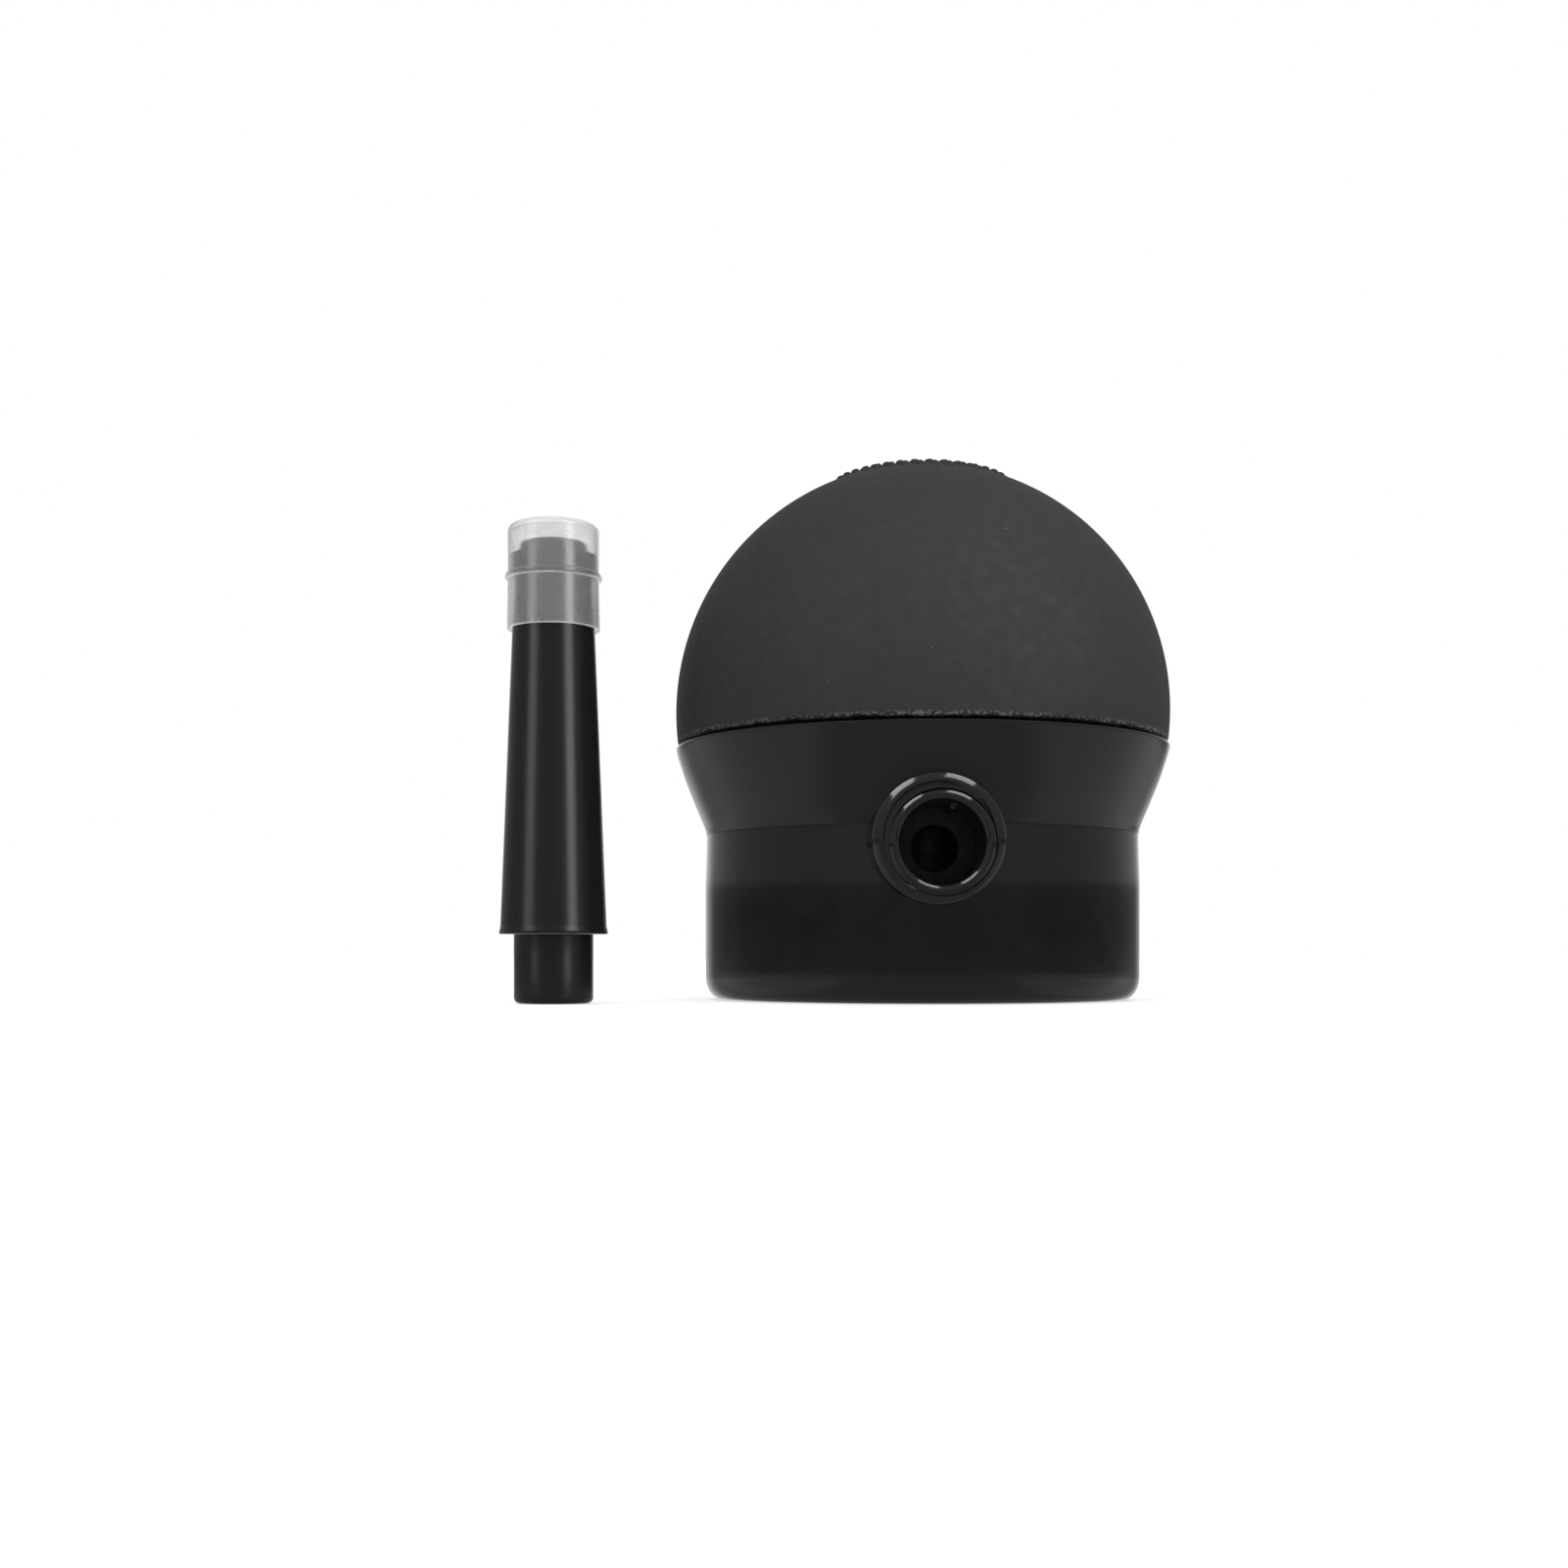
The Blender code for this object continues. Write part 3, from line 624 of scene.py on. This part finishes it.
def make_sleeve(material):
    """The tube that the nozzle plugs into: a rounded lip, and a small key inside at the top."""
    front = PUMP.y - SLEEVE_BOX[0].y
    back = PUMP.y - SLEEVE_BOX[1].y
    half_lip = (SLEEVE_LIP_R - SLEEVE_BORE_R) / 2
    lip_middle = (SLEEVE_LIP_R - half_lip, front - half_lip)
    turn = [math.pi * k / 16 for k in range(17)]
    lip = [(lip_middle[0] + half_lip * math.cos(a), lip_middle[1] + half_lip * math.sin(a)) for a in turn]
    lip_back = front - SLEEVE_LIP_LENGTH
    tube = [(SLEEVE_BORE_R, back), (SLEEVE_R, back), (SLEEVE_R, lip_back), (SLEEVE_LIP_R, lip_back)]
    sleeve = turned_along_port("port_tube", tube + lip, 128)
    combine(sleeve, make_key(front), "UNION")
    return stands_for(sleeve, material, "black_gloss", "pump", "port_sleeve")


def make_key(front):
    """A round rib half sunk in the wall near the top of the sleeve's bore, with a rounded front end."""
    outline = rounded([
        (0, front - KEY_START, 0),
        (KEY_R, front - KEY_START, 0.2 * MM),
        (KEY_R, front - KEY_END, 0),
        (0, front - KEY_END, 0),
    ])
    key = turned_along_port("key", outline, 24)
    key.data.transform(Matrix.Translation((KEY_SIDE, 0, SLEEVE_BORE_R - KEY_DROP)))
    return key


def bead_centres():
    """Centres of the grip beads: one in the middle and rings round it, each about a pitch from the next."""
    centres = [(0, 0)]
    rings = round(BEAD_PATCH_R / BEAD_PITCH)
    for ring in range(1, rings + 1):
        radius = ring * BEAD_PITCH
        count = round(math.tau * ring)
        for i in range(count):
            angle = math.tau * (i + 0.5 * (ring % 2)) / count
            centres.append((radius * math.cos(angle), radius * math.sin(angle)))
    return np.array(centres)


def ball_arc(radius, slopes):
    """Points round the ball's centre, where slope 0 is straight up and a right angle is level."""
    return [(radius * math.sin(a), BULB_CENTRE_Z + radius * math.cos(a)) for a in slopes]


def bulb_outline():
    """From the top down the outside, round the turned-in lower edge, and up the inside to the top."""
    fine_end = FINE_SKIN_R / BULB_R
    edge_z = BULB_EDGE_Z + BULB_EDGE_R
    last = math.pi / 2 - math.asin((edge_z - BULB_CENTRE_Z) / BULB_R)
    slopes = list(np.arange(0, fine_end, FINE_SKIN_STEP / BULB_R)) + list(np.linspace(fine_end, last, 90))
    skin = ball_arc(BULB_R, slopes)
    edge_r = skin[-1][0] - BULB_EDGE_R
    turn = [math.radians(-90 * k / 6) for k in range(1, 7)]
    edge = [(edge_r + BULB_EDGE_R * math.cos(a), edge_z + BULB_EDGE_R * math.sin(a)) for a in turn]
    floor_r = NECK_R - BULB_WALL
    floor = [(floor_r, BULB_EDGE_Z), (floor_r, BULB_EDGE_Z + 0.6 * MM)]
    return skin + edge + floor + ball_arc(BULB_R - BULB_WALL, np.linspace(math.radians(88), 0, 30))


def make_bulb(material):
    """The rubber ball above the rim, with its grip beads raised out of the same surface."""
    bulb = turned("bulb_skin", bulb_outline(), 400, Vector((0, 0, 0)))
    points = np.zeros(len(bulb.data.vertices) * 3)
    bulb.data.vertices.foreach_get("co", points)
    points = points.reshape(-1, 3)
    raise_beads(points)
    ripple_edge(points)
    bulb.data.vertices.foreach_set("co", points.ravel())
    bulb.data.update()
    bulb.data.transform(Matrix.Translation(PUMP))
    stands_for(bulb, material, "bulb_rubber", "pump", "bulb", "bulb_crown")
    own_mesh(bulb)
    return bulb


def raise_beads(points):
    """Lifts the outer skin of the crown into beads, along the ball's own normal."""
    spoke = points - np.array((0, 0, BULB_CENTRE_Z))
    distance = np.linalg.norm(spoke, axis=1)
    flat = np.hypot(points[:, 0], points[:, 1])
    on_crown = (distance > BULB_R - 0.1 * MM) & (flat < FINE_SKIN_R) & (spoke[:, 2] > 0)
    away = points[on_crown][:, None, :2] - bead_centres()[None]
    nearest = np.hypot(away[..., 0], away[..., 1]).min(axis=1)
    height = BEAD_HEIGHT * np.sqrt(np.clip(1 - (nearest / BEAD_R) ** 2, 0, None)) ** 0.9
    normal = spoke[on_crown] / distance[on_crown][:, None]
    points[on_crown] += normal * height[:, None]


def ripple_edge(points):
    """Lets the bulb's lower edge wander up and down a little all the way round."""
    turn = np.arctan2(points[:, 1], points[:, 0])
    outside = np.hypot(points[:, 0], points[:, 1]) > NECK_R
    near_edge = np.clip(1 - (points[:, 2] - BULB_EDGE_Z) / RIPPLE_REACH, 0, 1) * outside
    waves = ((1, 5, 0), (0.6, 17, 1), (0.5, 41, 2), (0.4, 73, 0))  # height, waves a turn, and start
    ripple = sum(height * np.sin(count * turn + start) for height, count, start in waves)
    points[:, 2] += EDGE_RIPPLE * ripple * near_edge


def make_neck(material):
    """The bulb's turned-in neck and lip, held inside the housing's rim."""
    lip_z = BULB_BOX[0].z
    top = BULB_EDGE_Z - 0.02 * MM
    inner = NECK_R - BULB_WALL
    outline = rounded([
        (NECK_R, top, 0),
        (NECK_R, lip_z, 0.3 * MM),
        (LIP_INNER_R, lip_z, 0.3 * MM),
        (LIP_INNER_R, lip_z + LIP_HEIGHT, 0.3 * MM),
        (inner, lip_z + LIP_HEIGHT, 0.2 * MM),
        (inner, top, 0),
    ])
    neck = turned("bulb_neck", outline, 128, PUMP)
    return stands_for(neck, material, "bulb_rubber", "pump")


# ---------- pieces of the nozzle ----------


def turned_nozzle_piece(name, outline, steps):
    return turned(name, outline, steps, NOZZLE, sharp_deg=30)


def make_nozzle_tube(material):
    """The tapered tube, with a shoulder over the plug that goes into the port."""
    top = TUBE_BOX[1].z
    base_r = half_width(TUBE_BOX)
    outline = rounded([
        (NOZZLE_BORE_R, top, 0),
        (NOZZLE_TOP_R, top, 0.15 * MM),
        (base_r - 0.12 * MM, PLUG_LENGTH + 0.75 * MM, 0.3 * MM),
        (base_r, PLUG_LENGTH + 0.25 * MM, 0.08 * MM),
        (base_r - 0.02 * MM, PLUG_LENGTH, 0.06 * MM),
        (PLUG_R, PLUG_LENGTH, 0.1 * MM),
        (PLUG_R, 0, 0.55 * MM),
        (NOZZLE_BORE_R, 0, 0),
    ])
    tube = turned_nozzle_piece("nozzle_body", evenly(outline, 2.5 * MM), 96)
    return stands_for(tube, material, "black_satin", "nozzle", "nozzle_tube")


def make_nozzle_tip(material):
    """The stepped insert: a stem in the tube's bore, a ring on the tube's end, and a crown with a hole."""
    bottom, top = TIP_BOX[0].z, TIP_BOX[1].z
    shoulder = TUBE_BOX[1].z + 0.01 * MM
    ring_top = top - TIP_CROWN_HEIGHT
    ring_r = half_width(TIP_BOX) + 0.08 * MM
    outline = rounded([
        (TIP_HOLE_R, top - 0.3 * MM, 0),
        (TIP_HOLE_R + 0.6 * MM, top, 0.2 * MM),
        (TIP_CROWN_R, top, 0.35 * MM),
        (TIP_CROWN_R, ring_top, 0.15 * MM),
        (ring_r, ring_top, 0.2 * MM),
        (ring_r, shoulder, 0.2 * MM),
        (TIP_STEM_R, shoulder, 0),
        (TIP_STEM_R, bottom, 0.2 * MM),
        (TIP_STEM_R - 0.8 * MM, bottom, 0.1 * MM),
        (TIP_HOLE_R, shoulder, 0),
    ])
    tip = turned_nozzle_piece("nozzle_insert", outline, 80)
    return stands_for(tip, material, "black_satin", "nozzle", "nozzle_tip")


def make_nozzle_cap(material, shade_material):
    """A thin cup with rounded top corners, a bead round its middle and a slightly wider mouth."""
    bottom, top = CAP_BOX[0].z, CAP_BOX[1].z
    bead_r = half_width(CAP_BOX)
    outline = rounded([
        (0, top, 0),
        (CAP_R, top, 0.75 * MM),
        (CAP_R, CAP_BEAD_Z + CAP_BEAD_HALF, 0.1 * MM),
        (bead_r, CAP_BEAD_Z + CAP_BEAD_CREST_HALF, 0.12 * MM),
        (bead_r, CAP_BEAD_Z - CAP_BEAD_CREST_HALF, 0.12 * MM),
        (CAP_R, CAP_BEAD_Z - CAP_BEAD_HALF, 0.1 * MM),
        (CAP_MOUTH_R, bottom, 0.1 * MM),
        (CAP_INNER_R, bottom, 0.1 * MM),
        (CAP_INNER_R, top - CAP_ROOF, 0.4 * MM),
        (0, top - CAP_ROOF, 0),
    ])
    cap = turned_nozzle_piece("tip_cap", outline, 96)
    stands_for(cap, material, "frosted_plastic", "cap", "nozzle_cap")
    # Painted shade: a cloudier copy of the frosted plastic on the mouth's rim and under the bead.
    paint_cap_shade(cap.data, shade_material)
    return cap


def paint_cap_shade(mesh, shade_material):
    """Paints shade on the cap: the rim of its mouth and the outer face under its bead get a cloudier copy
    of the frosted plastic as painted shade.
    """
    mesh.materials.append(shade_material)
    rim_top = CAP_BOX[0].z + 0.12 * MM
    wall_middle_r = CAP_INNER_R + 0.1 * MM
    for face in mesh.polygons:
        outside = (face.center.xy - NOZZLE.xy).length > wall_middle_r
        below_bead = CAP_BEAD_Z - face.center.z
        under_bead = outside and 0.2 * MM < below_bead < 0.4 * MM
        if under_bead or face.center.z < rim_top:
            face.material_index = 1


# ---------- stage ----------


def make_floor():
    """A pale floor that also glows a little, so that it blends into the backdrop."""
    side = FLOOR_HALF_SIDE
    corners = [(-side, -side, 0), (side, -side, 0), (side, side, 0), (-side, side, 0)]
    floor = add_object("floor", bpy.data.meshes.new("floor"))
    floor.data.from_pydata(corners, [], [(0, 1, 2, 3)])
    paint = Finish("floor_paint", (0.85, 0.85, 0.85), 0.9)
    paint.shader.inputs["Specular IOR Level"].default_value = 0
    paint.shader.inputs["Emission Color"].default_value = (1, 1, 1, 1)
    paint.shader.inputs["Emission Strength"].default_value = FLOOR_GLOW
    floor.data.materials.append(paint.material)
    floor.location.z = -FLOOR_DROP
    floor.visible_glossy = False


def make_world():
    """White to the eye. What shines sees a grey table, a dim studio above it and a bright sweep behind."""
    world = bpy.data.worlds.new("studio")
    bpy.context.scene.world = world
    world.use_nodes = True
    nodes, links = world.node_tree.nodes, world.node_tree.links

    def blend(source, band, values):
        return map_range(world.node_tree, source, band, values, "SMOOTHSTEP")

    def combined(operation, *sources):
        return math_node(world.node_tree, operation, *sources)

    place = nodes.new("ShaderNodeTexCoord")
    direction = nodes.new("ShaderNodeSeparateXYZ")
    links.new(place.outputs["Generated"], direction.inputs["Vector"])
    sideways = combined("ABSOLUTE", direction.outputs["X"])
    back, up = direction.outputs["Y"], direction.outputs["Z"]
    table = blend(sideways, TABLE_SIDES_BAND, (TABLE_FRONT, TABLE_SIDES))
    below = combined("MULTIPLY", blend(up, TABLE_EDGE_BAND, (1, 0)), table)
    low = blend(sideways, STUDIO_SIDES_BAND, (STUDIO_LOW, STUDIO_SIDES))
    above = combined("ADD", blend(up, STUDIO_HIGH_BAND, (0, STUDIO_HIGH)), low)
    total = combined("ADD", combined("ADD", below, above), blend(back, SWEEP_BAND, (0, SWEEP)))
    studio = nodes.new("ShaderNodeBackground")
    links.new(total, studio.inputs["Strength"])
    backdrop = nodes["Background"]
    backdrop.inputs["Color"].default_value = (1, 1, 1, 1)
    backdrop.inputs["Strength"].default_value = 1.0
    sight = nodes.new("ShaderNodeLightPath")
    seen = combined("MAXIMUM", sight.outputs["Is Camera Ray"], sight.outputs["Is Transmission Ray"])
    mix = nodes.new("ShaderNodeMixShader")
    links.new(seen, mix.inputs["Fac"])
    links.new(studio.outputs[0], mix.inputs[1])
    links.new(backdrop.outputs[0], mix.inputs[2])
    links.new(mix.outputs[0], nodes["World Output"].inputs["Surface"])


def area_light(name, size, watts, pieces):
    """A rectangular light that lights only these pieces."""
    light = add_object(name, bpy.data.lights.new(name, "AREA"))
    light.data.shape = "RECTANGLE"
    light.data.size, light.data.size_y = size
    light.data.energy = watts
    receivers = bpy.data.collections.new(name + "_receivers")
    for piece in pieces:
        receivers.objects.link(piece)
    light.light_linking.receiver_collection = receivers
    return light


def add_softbox(name, azimuth_deg, watts, pieces):
    """A tall light aimed at the pump. Azimuth 0 is the camera's side and grows towards +X."""
    light = area_light(name, SOFTBOX_SIZE, watts, pieces)
    azimuth, elevation = math.radians(azimuth_deg), math.radians(SOFTBOX_ELEVATION_DEG)
    across = math.cos(elevation)
    away = Vector((math.sin(azimuth) * across, -math.cos(azimuth) * across, math.sin(elevation)))
    light.location = PUMP + SOFTBOX_TARGET + away * SOFTBOX_DISTANCE
    light.rotation_euler = away.to_track_quat("Z", "Y").to_euler()


def add_ceiling_strip(name, tilt_deg, watts, pieces):
    """A long light overhead that runs from front to back. Tilt 0 is to the right, 90 is straight up."""
    light = area_light(name, STRIP_SIZE, watts, pieces)
    tilt = math.radians(tilt_deg)
    away = Vector((math.cos(tilt), 0, math.sin(tilt)))
    port = PUMP + Vector((0, -PORT_REACH, PORT_Z))
    light.location = port + away * STRIP_DISTANCE + Vector((0, -STRIP_FORWARD, 0))
    light.rotation_euler = (0, math.radians(90 - tilt_deg), 0)


def add_lights(matte_pieces, port_pieces):
    """A soft sun overhead, two softboxes for the matte pieces and two ceiling strips for the port."""
    sun = add_object("overhead", bpy.data.lights.new("overhead", "SUN"))
    sun.data.energy = SUN_STRENGTH
    sun.data.angle = math.radians(SUN_SPREAD_DEG)
    sun.rotation_euler = (math.radians(SUN_TILT_DEG), 0, 0)
    sun.visible_glossy = False
    add_softbox("left_softbox", azimuth_deg=-50, watts=1.35, pieces=matte_pieces)
    add_softbox("right_softbox", azimuth_deg=45, watts=2.6, pieces=matte_pieces)
    add_ceiling_strip("left_strip", tilt_deg=120, watts=3.8, pieces=port_pieces)
    add_ceiling_strip("right_strip", tilt_deg=67, watts=3.4, pieces=port_pieces)


def add_camera():
    camera = add_object("camera", bpy.data.cameras.new("camera"))
    camera.data.sensor_width = 36
    camera.data.lens = CAMERA_LENS_MM
    camera.data.shift_y = CAMERA_SHIFT_Y
    camera.data.clip_start = 0.01
    camera.data.clip_end = 20
    camera.location = PUMP + CAMERA_FROM_PUMP
    camera.rotation_euler = (math.radians(90), 0, 0)
    bpy.context.scene.camera = camera


def finish_cad_nodes(inner, seal):
    """Materials for the CAD nodes that show as they are, seen from below and through the port."""
    kept = {
        inner: ("bulb_clamp_ring", "valve_plate", "intake_valve_cage",
                "intake_sieve", "air_tube", "outlet_elbow"),
        seal: ("delivery_valve", "intake_valve", "port_seal", "bottle_gasket"),
    }
    for material, names in kept.items():
        for name in names:
            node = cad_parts[name]
            node.data.materials.clear()
            node.data.materials.append(material)


def main():
    gloss, satin, rubber, inner = black_gloss(), black_satin(), bulb_rubber(), inner_plastic()
    frosted = frosted_plastic("frosted_plastic", clearness=0.94)
    # This cloudier second copy is painted shade, for the cap's mouth rim and the band under its bead.
    frosted_painted_shade = frosted_plastic("frosted_painted_shade", clearness=0.7)
    make_housing(gloss)
    collar = make_collar(gloss)
    make_thread(gloss)
    port = [collar, make_sleeve(gloss)]
    # Painted shade: the port's end wall gets the duller inner plastic instead of the sleeve's gloss.
    make_end_wall(inner)
    bulb = [make_bulb(rubber), make_neck(rubber)]
    nozzle = [make_nozzle_tube(satin), make_nozzle_tip(satin), make_nozzle_cap(frosted, frosted_painted_shade)]
    for piece in nozzle:
        piece.visible_glossy = False
    finish_cad_nodes(inner, seal_rubber())
    make_floor()
    make_world()
    add_lights(bulb + nozzle, port)
    add_camera()
    bpy.context.scene.view_settings.view_transform = "Standard"


main()
